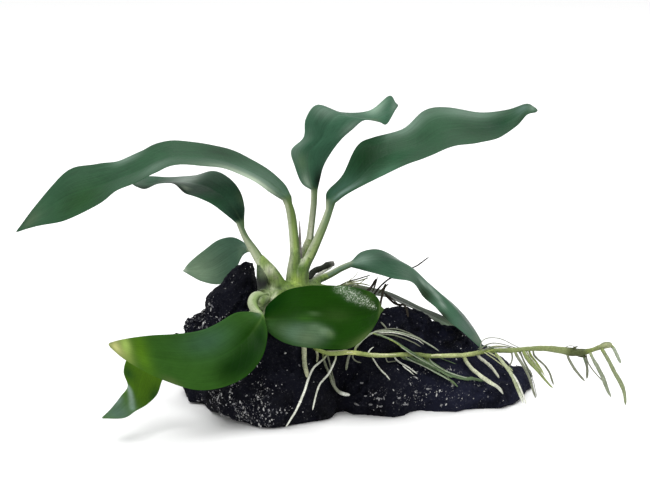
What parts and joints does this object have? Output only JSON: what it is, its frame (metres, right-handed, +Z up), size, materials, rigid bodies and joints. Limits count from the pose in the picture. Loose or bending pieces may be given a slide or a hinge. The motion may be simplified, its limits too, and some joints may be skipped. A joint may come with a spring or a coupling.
{
  "type": "anubias on stone",
  "caption": "Anubias plant with a creeping rhizome, long waxy leaves on stalks, and trailing pale roots, grown onto a craggy black lava stone.",
  "frame": {"origin": "on the stone's flat underside, near its middle, at the height of the surface it rests on", "axes": "+X along the stone's length, towards the end that the long root runs past; +Z up; +Y from the side with the long root to the back"},
  "size_m": [0.2091, 0.0879, 0.1026],
  "materials": {
    "black_lava": "matte",
    "leaf_green": "satin",
    "leaf_bright_green": "satin",
    "rhizome_green": "satin",
    "root_cream": "matte",
    "bract_brown": "matte",
    "dry_brown": "matte"
  },
  "bodies": {
    "root": {"bract": "bract_brown", "dry_stub": "dry_brown", "leaf_arching_left": "leaf_green", "leaf_behind_tower": "leaf_green", "leaf_curling_left": "leaf_green", "leaf_drooping_right": "leaf_green", "leaf_edge_on_right": "leaf_green", "leaf_front_left": "leaf_bright_green", "leaf_front_right": "leaf_bright_green", "leaf_long_right": "leaf_green", "leaf_twisted_low": "leaf_bright_green", "leaf_upright": "leaf_green", "rhizome": "rhizome_green", "root_arc_far": "root_cream", "root_arc_near": "root_cream", "root_back_drop": "dry_brown", "root_back_pale": "root_cream", "root_back_run": "dry_brown", "root_back_upright": "dry_brown", "root_comb_1": "root_cream", "root_comb_10": "root_cream", "root_comb_11": "root_cream", "root_comb_2": "root_cream", "root_comb_3": "root_cream", "root_comb_4": "root_cream", "root_comb_5": "root_cream", "root_comb_6": "root_cream", "root_comb_7": "root_cream", "root_comb_8": "root_cream", "root_comb_9": "root_cream", "root_fork_middle": "root_cream", "root_green_long": "root_cream", "root_green_under": "root_cream", "root_hanging_left_arm": "root_cream", "root_hanging_long": "root_cream", "root_hanging_pale": "root_cream", "root_hanging_short": "root_cream", "root_runner": "root_cream", "root_slant_middle": "root_cream", "root_stray": "dry_brown", "root_stub_left": "root_cream", "root_stub_middle": "root_cream", "stone": "black_lava"}
  },
  "joints": []
}
